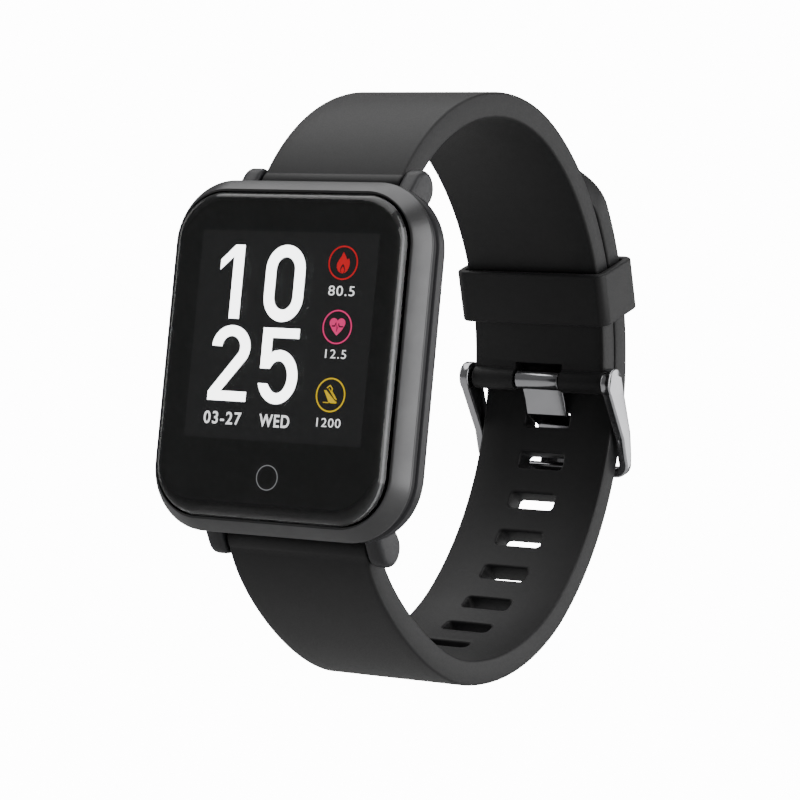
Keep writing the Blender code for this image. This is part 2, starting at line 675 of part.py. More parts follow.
def main():
    clear_scene()
    steel = material("polished_steel", (0.78, 0.78, 0.8), 0.12, 1.0)
    silicone = material("charcoal_silicone", (0.045, 0.045, 0.048), 0.55)
    make_cover_glass(material("black_glass", (0.01, 0.01, 0.012), 0.04))
    make_front_bezel(material("satin_metal", (0.16, 0.16, 0.17), 0.3, 0.9))
    shell = material("shell_plastic", (0.05, 0.05, 0.055), 0.4)
    make_mid_case(shell)
    make_rear_cover(shell)
    make_screws(steel)
    make_inner_parts({
        "adhesive": material("adhesive", (0.02, 0.02, 0.02), 0.7),
        "display": material("display", (0.02, 0.02, 0.03), 0.2),
        "copper": material("copper", (0.7, 0.35, 0.18), 0.3, 1.0),
        "board": material("board", (0.01, 0.09, 0.05), 0.4),
        "steel": steel,
        "battery": material("battery_foil", (0.6, 0.6, 0.62), 0.35, 0.8),
        "led": material("led", (0.3, 0.8, 0.35), 0.2),
        "silicon": material("silicon", (0.03, 0.03, 0.05), 0.2),
        "flex": material("flex", (0.55, 0.25, 0.05), 0.4),
        "rubber": silicone,
    })
    plate("sensor_window", circle_outline(SENSOR_RADIUS, 32), -0.65, 0.0,
          material("sensor_glass", (0.01, 0.01, 0.01), 0.05))
    gold = material("gold_plating", (0.85, 0.62, 0.25), 0.2, 1.0)
    for number, (x, z) in enumerate(CONTACT_PLACES, 1):
        plate(f"charge_contact_{number}", circle_outline(0.9, 16), -2.2, -0.75, gold,
              centre=(x, z))
    make_upper_strap(silicone)
    make_lower_strap(silicone)
    make_keeper(silicone)
    make_buckle(steel)
    make_spring_bar("upper", 1, steel)
    make_spring_bar("lower", -1, steel)


main()
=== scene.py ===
"""Looks for the square-faced smartwatch.

Fine meshes, materials, lights and a camera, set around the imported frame. Lengths are in mm
until a mesh is finished. +Z points to 12 o'clock and the display faces -Y.
"""
import json
from math import atan2, cos, hypot, pi, radians, sin

import bmesh
import bpy
from mathutils import Matrix, Vector


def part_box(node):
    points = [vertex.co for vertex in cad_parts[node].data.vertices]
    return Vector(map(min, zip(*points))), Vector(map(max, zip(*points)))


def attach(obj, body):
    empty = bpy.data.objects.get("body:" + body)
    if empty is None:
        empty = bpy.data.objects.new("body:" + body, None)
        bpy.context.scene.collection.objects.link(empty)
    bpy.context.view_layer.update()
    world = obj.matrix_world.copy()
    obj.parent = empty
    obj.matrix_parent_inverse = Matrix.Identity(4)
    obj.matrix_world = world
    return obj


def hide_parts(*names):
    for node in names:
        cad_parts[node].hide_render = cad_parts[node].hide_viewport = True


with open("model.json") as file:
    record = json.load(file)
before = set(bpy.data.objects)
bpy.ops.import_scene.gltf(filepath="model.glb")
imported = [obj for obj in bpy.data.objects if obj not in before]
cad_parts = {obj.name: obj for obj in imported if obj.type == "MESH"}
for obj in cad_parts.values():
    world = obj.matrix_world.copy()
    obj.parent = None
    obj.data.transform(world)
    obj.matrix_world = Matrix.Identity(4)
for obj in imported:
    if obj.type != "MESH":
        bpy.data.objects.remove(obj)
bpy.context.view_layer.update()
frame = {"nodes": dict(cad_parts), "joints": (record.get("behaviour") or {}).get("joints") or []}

MM = 0.001
JOINTS = {joint["name"]: joint for joint in frame["joints"]}


def joint_yz(name):
    """A hinge's axis as (y, z) in mm."""
    _, y, z = JOINTS[name]["pos_m"]
    return (y / MM, z / MM)


def node_mm(name):
    """A node's lowest and highest corners in mm."""
    return [Vector(corner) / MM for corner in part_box(name)]


# ---------------------------------------------------------------- sizes, mm

GAP = 0.3
UPPER_AXIS = joint_yz("upper_strap_hinge")
LOWER_AXIS = joint_yz("lower_strap_hinge")
PIN_YZ = joint_yz("buckle_hinge")
ARC_CENTRE = joint_yz("keeper_slide")
BEZEL_LOW, BEZEL_HIGH = node_mm("front_bezel")
GLASS_HIGH = node_mm("cover_glass")[1]
CASE_HALF_X = BEZEL_HIGH.x
CASE_HALF_Z = BEZEL_HIGH.z
BEZEL_FRONT_Y = BEZEL_LOW.y
BEZEL_BACK_Y = BEZEL_HIGH.y
GLASS_HALF_X = GLASS_HIGH.x
GLASS_HALF_Z = GLASS_HIGH.z
GLASS_BACK_Y = GLASS_HIGH.y
CASE_CORNER = 7.4
GLASS_CORNER = 5.8
BEZEL_SLOPE = 1.4               # how far the bezel's sides lean in towards the glass
SEAT_DEPTH = 0.9                # bezel's glass seat below the back of the glass
SEAT_WIDTH = 1.2
MID_FRONT_Y = -6.7
MID_BACK_Y = -2.6
COVER_BACK_Y = -0.8
CAVITY = (13.9, 14.6, 7.2)      # half width, half height and corner
PLATEAU_RADIUS = 10.2
POCKET_RADIUS = 8.9
SENSOR_RADIUS = 6.5
SCREW_HOLE_RADIUS = 0.8
SCREW_SINK_RADIUS = 1.35
CONTACT_HOLE_RADIUS = 1.2
LUG_RADIUS = 2.1
LUG_ROOT_YZ = (-4.4, 16.6)
LUG_ROOT_RADIUS = 1.6
LUG_INNER_X = 9.6
LUG_OUTER_X = 11.8
LUG_SOFTNESS = 0.62
RECESS_HALF_Z = 2.6
RECESS_DEPTH = 2.4
TIP_HOLE_RADIUS = 0.7
TIP_HOLE_X = 10.9
BAR_BORE = 1.2
PAST = 15.0                     # reach of a cutter that goes clean through along X
SCREW_PLACES = [(11.4, 12.2), (-11.4, 12.2), (-11.4, -12.2), (11.4, -12.2)]
CONTACT_PLACES = [(-2.6, -12.6), (2.6, -12.6)]
STRAP_HALF = 9.3
STRAP_THICK = 3.0
STRAP_EDGE = 0.3
KNUCKLE_RADIUS = 1.7
SLOT_HALF_LENGTH = 3.15
SLOT_HALF_HEIGHT = 1.1
SLOT_CORNER = 0.55
SLOT_PITCH = 5.7
SLOT_COUNT = 11
SLOTS_ABOVE_TONGUE = 3
TAIL_TIP_LENGTH = 7.6
SEAM_RADIUS = 35.25
INNER_LAYER_RADIUS = SEAM_RADIUS - GAP / 2 - STRAP_THICK / 2
OUTER_LAYER_RADIUS = SEAM_RADIUS + GAP / 2 + STRAP_THICK / 2
INNER_ARC_START = 65.0
BUCKLE_ANGLE = 5.05
PIN_ARC_RADIUS = 32.6
TONGUE_SLOT_ANGLE = -3.0
OUTER_ARC_START = -45.0
TAIL_END_ANGLE = 52.5
LOOP_BOTTOM_YZ = (22.5, -33.55)
KEEPER_ANGLE = 24.3
KEEPER_HALF_HEIGHT = 3.35
KEEPER_WALL = 1.0
KEEPER_HALF_X = 10.6
TUBE_RADIUS = 1.45
TUBE_EDGE = 0.25
TUBE_BORE = 0.95
PIN_RADIUS = 0.6
PIN_HALF_X = 10.4
NOTCH_HALF_X = 3.35
NOTCH_RADIUS = 2.2
BARREL_RADIUS = 1.25
BARREL_HALF_X = 3.05
BARREL_BORE = 0.8
ARM_INNER_X = 9.6
ARM_OUTER_X = 10.85
ARM_HEAD_RADIUS = 1.9
ARM_KNEE_YZ = (54.85, -2.55)
ARM_KNEE_RADIUS = 1.15
CLOSED_BAR_RADIUS = 0.7
CLOSED_BAR_ANGLE = -11.5
BUCKLE_CORNER = 1.8
TONGUE_HALF_X = 2.85
TONGUE_THICK = 0.6
PICTURE_HALF = 11.7
PICTURE_CENTRE_Z = 2.2
PRINT_FRONT_Y = -9.3            # the black print and the picture under the pane
# Glass rim: height above the pane's back and distance in from its side
RIM_PROFILE = [(0.0, 0.0), (0.1, 0.015), (0.18, 0.05), (0.5, 0.22), (0.88, 0.45), (1.05, 0.6),
               (1.16, 0.76), (1.23, 0.97), (1.27, 1.25), (1.29, 1.6), (1.3, 2.0)]
PICTURE_SHIFT = 0.12            # the picture sits a little to the right on its panel


# ---------------------------------------------------------------- outlines

def arc_points(centre, radius, start, end, steps):
    """Points (u, v) along an arc, angles in degrees; the radius may be (ru, rv)."""
    radius_u, radius_v = radius if isinstance(radius, tuple) else (radius, radius)
    points = []
    for i in range(steps + 1):
        angle = radians(start + (end - start) * i / steps)
        points.append((centre[0] + radius_u * cos(angle), centre[1] + radius_v * sin(angle)))
    return points


def rounded_outline(half_u, half_v, corner, steps=14, centre=(0, 0)):
    points = []
    for quarter, (side_u, side_v) in enumerate([(1, 1), (-1, 1), (-1, -1), (1, -1)]):
        middle = (centre[0] + side_u * (half_u - corner), centre[1] + side_v * (half_v - corner))
        points += arc_points(middle, corner, 90 * quarter, 90 * quarter + 90, steps)
    return points


def circle_outline(radius, steps=48, centre=(0, 0)):
    return arc_points(centre, radius, 0, 360 * (steps - 1) / steps, steps - 1)


def capsule_outline(start, radius_start, end, radius_end, steps=20):
    """Hull of two circles in the (y, z) plane."""
    length = hypot(end[0] - start[0], end[1] - start[1])
    heading = atan2(end[1] - start[1], end[0] - start[0]) * 180 / pi
    flare = 90 - atan2(radius_start - radius_end, length) * 180 / pi
    points = arc_points(start, radius_start, heading + flare, heading + 360 - flare, steps)
    return points + arc_points(end, radius_end, heading - flare, heading + flare, steps)


def arc_point(radius, degrees):
    """Point (y, z) on a circle about the back arc's centre."""
    angle = radians(degrees)
    return (ARC_CENTRE[0] + radius * cos(angle), ARC_CENTRE[1] + radius * sin(angle))


def ahead(point, degrees, distance):
    heading = radians(degrees)
    return (point[0] + distance * cos(heading), point[1] + distance * sin(heading))


BAR_ARC_RADIUS = OUTER_LAYER_RADIUS + STRAP_THICK / 2 + GAP + CLOSED_BAR_RADIUS
CLOSED_BAR_YZ = arc_point(BAR_ARC_RADIUS, CLOSED_BAR_ANGLE)


# ---------------------------------------------------------------- mesh helpers

SHARP_ANGLE = 38                # degrees between faces that keeps a crisp edge


def new_object(name, bm, mat=None):
    """Turn a bmesh in mm into a smooth-shaded object."""
    bmesh.ops.recalc_face_normals(bm, faces=bm.faces)
    bm.transform(Matrix.Scale(MM, 4))
    mesh = bpy.data.meshes.new(name)
    bm.to_mesh(mesh)
    bm.free()
    obj = bpy.data.objects.new(name, mesh)
    bpy.context.collection.objects.link(obj)
    if mat:
        mesh.materials.append(mat)
    shade(obj)
    return obj


def shade(obj, sharp=SHARP_ANGLE):
    obj.data.shade_smooth()
    obj.data.set_sharp_from_angle(angle=radians(sharp))


def loft(name, rings, mat=None, closed=False):
    """Skin equal rings of (x, y, z) points in mm, with both ends capped unless closed."""
    bm = bmesh.new()
    loops = [[bm.verts.new(point) for point in ring] for ring in rings]
    pairs = list(zip(loops, loops[1:]))
    if closed:
        pairs.append((loops[-1], loops[0]))
    else:
        bm.faces.new(loops[0])
        bm.faces.new(loops[-1])
    for first, second in pairs:
        for i in range(len(first)):
            j = (i + 1) % len(first)
            bm.faces.new((first[i], first[j], second[j], second[i]))
    return new_object(name, bm, mat)


def cut_sheet(bm, loops, y):
    """Fill between an outline and its holes at height y, and return the loops of vertices."""
    rings = []
    edges = []
    for loop in loops:
        verts = [bm.verts.new((u, y, v)) for u, v in loop]
        rings.append(verts)
        edges += [bm.edges.new((a, b)) for a, b in zip(verts, verts[1:] + verts[:1])]
    bmesh.ops.triangle_fill(bm, use_beauty=True, edges=edges)
    return rings


def flat_piece(name, loops, y_start, y_end, mat=None):
    """Outline with holes in (x, z), extruded along Y."""
    bm = bmesh.new()
    for front, back in zip(cut_sheet(bm, loops, y_start), cut_sheet(bm, loops, y_end)):
        for i in range(len(front)):
            j = (i + 1) % len(front)
            bm.faces.new((front[i], front[j], back[j], back[i]))
    return new_object(name, bm, mat)


def stack(name, levels, mat=None, steps=14):
    """Rounded rectangles (y, half_x, half_z, corner) skinned along Y."""
    rings = [[(u, y, v) for u, v in rounded_outline(half_x, half_z, corner, steps)]
             for y, half_x, half_z, corner in levels]
    return loft(name, rings, mat)


def plate(name, outline, y_start, y_end):
    """Outline in (x, z), extruded along Y."""
    return loft(name, [[(u, y, v) for u, v in outline] for y in (y_start, y_end)])


def disc(name, centre, profile, mat=None, steps=48):
    """Stack of circles (y, radius) about a Y line through centre (x, z)."""
    rings = [[(u, y, v) for u, v in circle_outline(radius, steps, centre)] for y, radius in profile]
    return loft(name, rings, mat)


def bar_along_x(name, outline, x_start, x_end):
    """Outline in (y, z), extruded along X."""
    return loft(name, [[(x, u, v) for u, v in outline] for x in (x_start, x_end)])


def turned_x(name, centre, profile, mat=None, steps=40):
    """Turn an (x, radius) profile about an X line through centre (y, z)."""
    rings = [[(x, u, v) for u, v in circle_outline(radius, steps, centre)] for x, radius in profile]
    return loft(name, rings, mat)


def rod(name, centre, radius, x_start, x_end):
    return turned_x(name, centre, [(x_start, radius), (x_end, radius)])


def soft_rod(name, centre, radius, half_x, edge, mat=None):
    """Rod about the middle plane with rounded rims."""
    rims = [(half_x - edge + edge * sin(radians(a)), radius - edge + edge * cos(radians(a)))
            for a in (0, 30, 60, 90)]
    profile = [(-x, r) for x, r in reversed(rims)] + rims
    return turned_x(name, centre, profile, mat)


def settle(obj):
    """Apply the object's modifiers."""
    depsgraph = bpy.context.evaluated_depsgraph_get()
    mesh = bpy.data.meshes.new_from_object(obj.evaluated_get(depsgraph))
    mesh.name = obj.name
    obj.modifiers.clear()
    obj.data = mesh
    shade(obj)


def carve(target, operation, *tools):
    """Boolean the target with helper objects, which are then removed."""
    for tool in tools:
        modifier = target.modifiers.new(tool.name, "BOOLEAN")
        modifier.operation = operation
        modifier.solver = "EXACT"
        modifier.object = tool
    settle(target)
    for tool in tools:
        bpy.data.objects.remove(tool, do_unlink=True)
    return target


def soften(obj, width, segments, angle):
    """Bevel the edges sharper than an angle in degrees."""
    bevel = obj.modifiers.new("soft_edges", "BEVEL")
    bevel.width = width * MM
    bevel.segments = segments
    bevel.limit_method = "ANGLE"
    bevel.angle_limit = radians(angle)
    settle(obj)
    return obj


def place_piece(obj, body, slot, *nodes):
    """Ride a body and stand for CAD nodes; the slot argument is not used."""
    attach(obj, body)
    if nodes:
        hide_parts(*nodes)
    return obj


# ---------------------------------------------------------------- materials

SHADER = "Principled BSDF"


def node_material(name, colour, roughness, metallic=0.0, specular=0.5):
    """New material with a Principled shader; patterns added later read object coordinates in metres."""
    mat = bpy.data.materials.new(name)
    mat.use_nodes = True
    shader = mat.node_tree.nodes[SHADER]
    shader.inputs["Base Color"].default_value = (*colour, 1)
    shader.inputs["Roughness"].default_value = roughness
    shader.inputs["Metallic"].default_value = metallic
    shader.inputs["Specular IOR Level"].default_value = specular
    return mat, mat.node_tree, shader


def add_noise(tree, scale, detail=3.0, stretch=(1, 1, 1)):
    """Noise over object coordinates; the stretch squeezes its grain along an axis."""
    coords = tree.nodes.new("ShaderNodeTexCoord")
    mapping = tree.nodes.new("ShaderNodeMapping")
    mapping.inputs["Scale"].default_value = stretch
    noise = tree.nodes.new("ShaderNodeTexNoise")
    noise.inputs["Scale"].default_value = scale
    noise.inputs["Detail"].default_value = detail
    tree.links.new(coords.outputs["Object"], mapping.inputs["Vector"])
    tree.links.new(mapping.outputs["Vector"], noise.inputs["Vector"])
    return noise.outputs["Fac"]


def spread(tree, value, low, high, start=0.3, end=0.7):
    """Remap a 0..1 pattern to numbers between low and high."""
    remap = tree.nodes.new("ShaderNodeMapRange")
    remap.inputs["From Min"].default_value = start
    remap.inputs["From Max"].default_value = end
    remap.inputs["To Min"].default_value = low
    remap.inputs["To Max"].default_value = high
    tree.links.new(value, remap.inputs["Value"])
    return remap.outputs["Result"]


def blend_colours(tree, value, low, high):
    """Colour that runs from low to high over the middle of a 0..1 pattern."""
    ramp = tree.nodes.new("ShaderNodeValToRGB")
    ramp.color_ramp.elements[0].position = 0.35
    ramp.color_ramp.elements[1].position = 0.65
    ramp.color_ramp.elements[0].color = (*low, 1)
    ramp.color_ramp.elements[1].color = (*high, 1)
    tree.links.new(value, ramp.inputs["Fac"])
    return ramp.outputs["Color"]


def add_bump(tree, shader, value, depth):
    """Let a 0..1 pattern raise the surface by a depth in mm."""
    bump = tree.nodes.new("ShaderNodeBump")
    bump.inputs["Distance"].default_value = depth * MM
    bump.inputs["Strength"].default_value = 1.0
    tree.links.new(value, bump.inputs["Height"])
    tree.links.new(bump.outputs["Normal"], shader.inputs["Normal"])


def grained(name, colour, roughness, metallic=0.0, specular=0.5, vary=0.25, patch=180, grain=5200,
            depth=0.01, rough_vary=0.08, stretch=(1, 1, 1)):
    """Cloudy colour and roughness over a fine surface grain."""
    mat, tree, shader = node_material(name, colour, roughness, metallic, specular)
    clouds = add_noise(tree, patch, 4.0)
    fine = add_noise(tree, grain, 2.0, stretch)
    dark = tuple(channel * (1 - vary) for channel in colour)
    light = tuple(min(1.0, channel * (1 + vary)) for channel in colour)
    tree.links.new(blend_colours(tree, clouds, dark, light), shader.inputs["Base Color"])
    tree.links.new(spread(tree, fine, roughness - rough_vary, roughness + rough_vary),
                   shader.inputs["Roughness"])
    add_bump(tree, shader, fine, depth)
    return mat


def silicone_material():
    """Charcoal rubber with a faint dusty sheen."""
    mat = grained("silicone", (0.0125, 0.0125, 0.0132), 0.5, specular=0.42, vary=0.12, patch=90,
                  grain=6500, depth=0.006, rough_vary=0.05)
    shader = mat.node_tree.nodes[SHADER]
    shader.inputs["Sheen Weight"].default_value = 0.05
    shader.inputs["Sheen Roughness"].default_value = 0.5
    return mat


def glass_material():
    """Clear glass with faint smears."""
    mat, tree, shader = node_material("cover_glass", (0.93, 0.94, 0.95), 0.0, specular=0.32)
    shader.inputs["Transmission Weight"].default_value = 1.0
    shader.inputs["IOR"].default_value = 1.45
    smears = add_noise(tree, 60, 3.0)
    tree.links.new(spread(tree, smears, 0.0, 0.01), shader.inputs["Roughness"])
    return mat


def circuit_material():
    """Green solder mask with copper tracks showing through and a scatter of small pads."""
    mat = grained("circuit_board", (0.012, 0.1, 0.05), 0.35, vary=0.2)
    tree = mat.node_tree
    coords = tree.nodes.new("ShaderNodeTexCoord")
    bricks = tree.nodes.new("ShaderNodeTexBrick")
    bricks.inputs["Scale"].default_value = 420
    bricks.inputs["Mortar Size"].default_value = 0.05
    bricks.inputs["Color1"].default_value = (0.01, 0.09, 0.045, 1)
    bricks.inputs["Color2"].default_value = (0.016, 0.12, 0.06, 1)
    bricks.inputs["Mortar"].default_value = (0.12, 0.3, 0.1, 1)
    swap = tree.nodes.new("ShaderNodeMapping")
    swap.inputs["Rotation"].default_value = (pi / 2, 0, 0)
    tree.links.new(coords.outputs["Object"], swap.inputs["Vector"])
    tree.links.new(swap.outputs["Vector"], bricks.inputs["Vector"])
    tree.links.new(bricks.outputs["Color"], tree.nodes[SHADER].inputs["Base Color"])
    return mat


def glow_material(name, colour, strength):
    """Lit picture elements, very slightly uneven like a backlight; the touch ring's print also uses
    this, as a painted glow.
    """
    mat, tree, shader = node_material(name, (0.01, 0.01, 0.01), 0.4, specular=0.2)
    cells = add_noise(tree, 900, 1.0)
    low = tuple(channel * 0.96 for channel in colour)
    tree.links.new(blend_colours(tree, cells, low, colour), shader.inputs["Emission Color"])
    shader.inputs["Emission Strength"].default_value = strength
    return mat


BRUSHED = (1, 12, 12)           # squeezes the grain into fine lines along X
MATERIALS = {
    "cover_glass": glass_material(),
    "bezel_metal": grained("bezel_metal", (0.12, 0.12, 0.122), 0.34, metallic=0.85, vary=0.06,
                           patch=260, grain=9000, depth=0.004, rough_vary=0.05),
    "case_plastic": grained("case_plastic", (0.028, 0.028, 0.031), 0.42, vary=0.1, patch=240,
                            grain=7500, depth=0.008),
    "sensor_window": grained("sensor_window", (0.006, 0.006, 0.007), 0.06, vary=0.2, grain=900,
                             depth=0.0005, rough_vary=0.02),
    "gold_contact": grained("gold_contact", (0.83, 0.6, 0.24), 0.2, 1.0, vary=0.08, grain=6000,
                            depth=0.003),
    "screw_steel": grained("screw_steel", (0.36, 0.36, 0.38), 0.3, 1.0, vary=0.12, grain=7000,
                           depth=0.004),
    "adhesive": grained("adhesive", (0.014, 0.014, 0.014), 0.8, vary=0.3, grain=4200, depth=0.03),
    "gasket": grained("gasket", (0.03, 0.03, 0.033), 0.6, vary=0.2, grain=5000, depth=0.01),
    "display_panel": grained("display_panel", (0.012, 0.012, 0.015), 0.2, vary=0.2, grain=3000,
                             depth=0.002),
    "flex_film": grained("flex_film", (0.5, 0.2, 0.035), 0.35, vary=0.2, grain=2600, depth=0.01,
                         stretch=(8, 1, 1)),
    "copper_pad": grained("copper_pad", (0.72, 0.36, 0.19), 0.28, 1.0, vary=0.15, grain=5000,
                          depth=0.004),
    "circuit_board": circuit_material(),
    "inner_steel": grained("inner_steel", (0.55, 0.55, 0.57), 0.3, 1.0, vary=0.1, grain=1500,
                           depth=0.004, stretch=BRUSHED),
    "battery_pouch": grained("battery_pouch", (0.55, 0.55, 0.57), 0.38, 0.85, vary=0.12, grain=1600,
                             depth=0.04),
    "led_lens": grained("led_lens", (0.16, 0.6, 0.22), 0.15, vary=0.15, grain=2500, depth=0.003),
    "photodiode": grained("photodiode", (0.02, 0.02, 0.045), 0.12, vary=0.3, grain=2500,
                          depth=0.002, rough_vary=0.05),
    "bar_steel": grained("bar_steel", (0.5, 0.5, 0.52), 0.28, 1.0, vary=0.1, grain=1200,
                         depth=0.004, stretch=(14, 1, 1)),
    "silicone": silicone_material(),
    "buckle_steel": grained("buckle_steel", (0.56, 0.56, 0.58), 0.15, 1.0, vary=0.04, patch=300,
                            grain=1400, depth=0.0012, rough_vary=0.04, stretch=BRUSHED),
}
PRINT_BLACK = grained("glass_print", (0.0035, 0.0035, 0.004), 0.5, specular=0.3, vary=0.2,
                      grain=4000, depth=0.0001, rough_vary=0.02)

NODE_SLOTS = {
    "cover_glass": ["cover_glass"], "bezel_metal": ["front_bezel"],
    "case_plastic": ["mid_case", "rear_cover"], "sensor_window": ["sensor_window"],
    "gold_contact": ["charge_contact_1", "charge_contact_2"],
    "screw_steel": [f"back_screw_{i}" for i in (1, 2, 3, 4)], "adhesive": ["glass_adhesive"],
    "gasket": ["case_gasket"], "display_panel": ["display_module"], "flex_film": ["display_flex"],
    "copper_pad": ["touch_key_pad"], "circuit_board": ["main_board", "sensor_board"],
    "inner_steel": ["processor_shield", "vibration_motor"], "battery_pouch": ["battery"],
    "led_lens": ["sensor_led"], "photodiode": ["photodiode_1", "photodiode_2"],
    "silicone": ["strap_upper", "strap_lower", "keeper_loop"],
    "buckle_steel": ["buckle_frame", "buckle_tongue", "buckle_pin"],
    "bar_steel": [name for name in frame["nodes"] if name.startswith("spring_bar")],
}


def paint_nodes():
    """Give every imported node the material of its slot."""
    for slot, names in NODE_SLOTS.items():
        for name in names:
            mesh = frame["nodes"][name].data
            mesh.materials.clear()
            mesh.materials.append(MATERIALS[slot])


# ---------------------------------------------------------------- case

def make_glass():
    """Clear pane over a black print; its rim falls away steeply under a soft shoulder."""
    back = PRINT_FRONT_Y - 0.1
    levels = [(back - rise, GLASS_HALF_X - inset, GLASS_HALF_Z - inset, GLASS_CORNER - inset)
              for rise, inset in RIM_PROFILE]
    pane = stack("cover_glass_pane", levels, MATERIALS["cover_glass"], 20)
    shade(pane, 60)
    place_piece(pane, "case", "cover_glass", "cover_glass")
    inset = 0.02
    backing = stack("glass_print", [
        (PRINT_FRONT_Y, GLASS_HALF_X - inset, GLASS_HALF_Z - inset, GLASS_CORNER - inset),
        (GLASS_BACK_Y, GLASS_HALF_X - inset, GLASS_HALF_Z - inset, GLASS_CORNER - inset),
    ], PRINT_BLACK, 20)
    place_piece(backing, "case", "cover_glass")


def make_bezel():
    """Satin ring: rounded lip, flat leaning sides and a fine chamfer at the back."""
    def level(y, lean):
        return (y, CASE_HALF_X - lean, CASE_HALF_Z - lean, CASE_CORNER - lean)
    flank_end = BEZEL_BACK_Y - 0.4
    outside = [level(BEZEL_FRONT_Y, BEZEL_SLOPE + 0.16),
               level(BEZEL_FRONT_Y + 0.03, BEZEL_SLOPE + 0.06),
               level(BEZEL_FRONT_Y + 0.1, BEZEL_SLOPE - 0.03),
               level(BEZEL_FRONT_Y + 0.2, BEZEL_SLOPE - 0.12), level(flank_end - 0.12, 0.07),
               level(flank_end, 0.015), level(flank_end + 0.15, 0.0), level(BEZEL_BACK_Y - 0.1, 0.0),
               level(BEZEL_BACK_Y, 0.1)]
    seat = (GLASS_HALF_X + GAP, GLASS_HALF_Z + GAP, GLASS_CORNER + GAP)
    window = (GLASS_HALF_X - SEAT_WIDTH, GLASS_HALF_Z - SEAT_WIDTH, GLASS_CORNER - SEAT_WIDTH)
    seat_y = GLASS_BACK_Y + SEAT_DEPTH
    inside = [(BEZEL_BACK_Y, *window), (seat_y, *window), (seat_y, *seat),
              (BEZEL_FRONT_Y + 0.08, *seat),
              (BEZEL_FRONT_Y, seat[0] + 0.06, seat[1] + 0.06, seat[2] + 0.06)]
    rings = [[(u, y, v) for u, v in rounded_outline(half_x, half_z, corner, 22)]
             for y, half_x, half_z, corner in outside + inside]
    bezel = loft("bezel_ring", rings, MATERIALS["bezel_metal"], closed=True)
    place_piece(bezel, "case", "bezel_metal", "front_bezel")


def make_case():
    """Moulded rear case: shadow groove, belt and four soft-edged lugs."""
    levels = [(MID_FRONT_Y, 0.55, 0.55, 0.55), (MID_FRONT_Y + 0.86, 0.55, 0.55, 0.55),
              (MID_FRONT_Y + 0.98, 0.5, 0.5, 0.5), (MID_FRONT_Y + 1.06, 0.32, 0.32, 0.32),
              (MID_FRONT_Y + 1.2, 0.2, 0.2, 0.2), (MID_FRONT_Y + 1.8, 0.18, 0.18, 0.18),
              (MID_FRONT_Y + 2.3, 0.25, 0.25, 0.25), (MID_FRONT_Y + 2.7, 0.37, 0.4, 0.32),
              (MID_FRONT_Y + 3.3, 0.7, 0.8, 0.5), (MID_FRONT_Y + 3.8, 1.02, 1.4, 0.75),
              (MID_BACK_Y, 1.3, 2.0, 1.0)]
    body = stack("case_shell", [(y, CASE_HALF_X - dx, CASE_HALF_Z - dz, CASE_CORNER - dc)
                                for y, dx, dz, dc in levels], MATERIALS["case_plastic"], 18)
    lugs = []
    for side_z in (-1, 1):
        for side_x in (-1, 1):
            outline = capsule_outline((LUG_ROOT_YZ[0], side_z * LUG_ROOT_YZ[1]), LUG_ROOT_RADIUS,
                                      (UPPER_AXIS[0], side_z * UPPER_AXIS[1]), LUG_RADIUS, 14)
            stub = bar_along_x(f"lug_{side_x}_{side_z}", outline, side_x * LUG_INNER_X,
                               side_x * LUG_OUTER_X)
            lugs.append(soften(stub, LUG_SOFTNESS, 4, 50))
    carve(body, "UNION", *lugs)
    tools = [stack("cavity", [(MID_FRONT_Y - 1, *CAVITY), (MID_BACK_Y + 1, *CAVITY)])]
    for side_z in (-1, 1):
        recess = rounded_outline(LUG_INNER_X, RECESS_HALF_Z, 0.3, 4,
                                 (0, side_z * (UPPER_AXIS[1] + 0.2)))
        tools.append(plate(f"recess_{side_z}", recess, UPPER_AXIS[0] - RECESS_DEPTH, 1))
        tools.append(rod(f"bar_hole_{side_z}", (UPPER_AXIS[0], side_z * UPPER_AXIS[1]),
                         TIP_HOLE_RADIUS, -TIP_HOLE_X, TIP_HOLE_X))
    carve(body, "DIFFERENCE", *tools)
    place_piece(body, "case", "case_plastic", "mid_case")


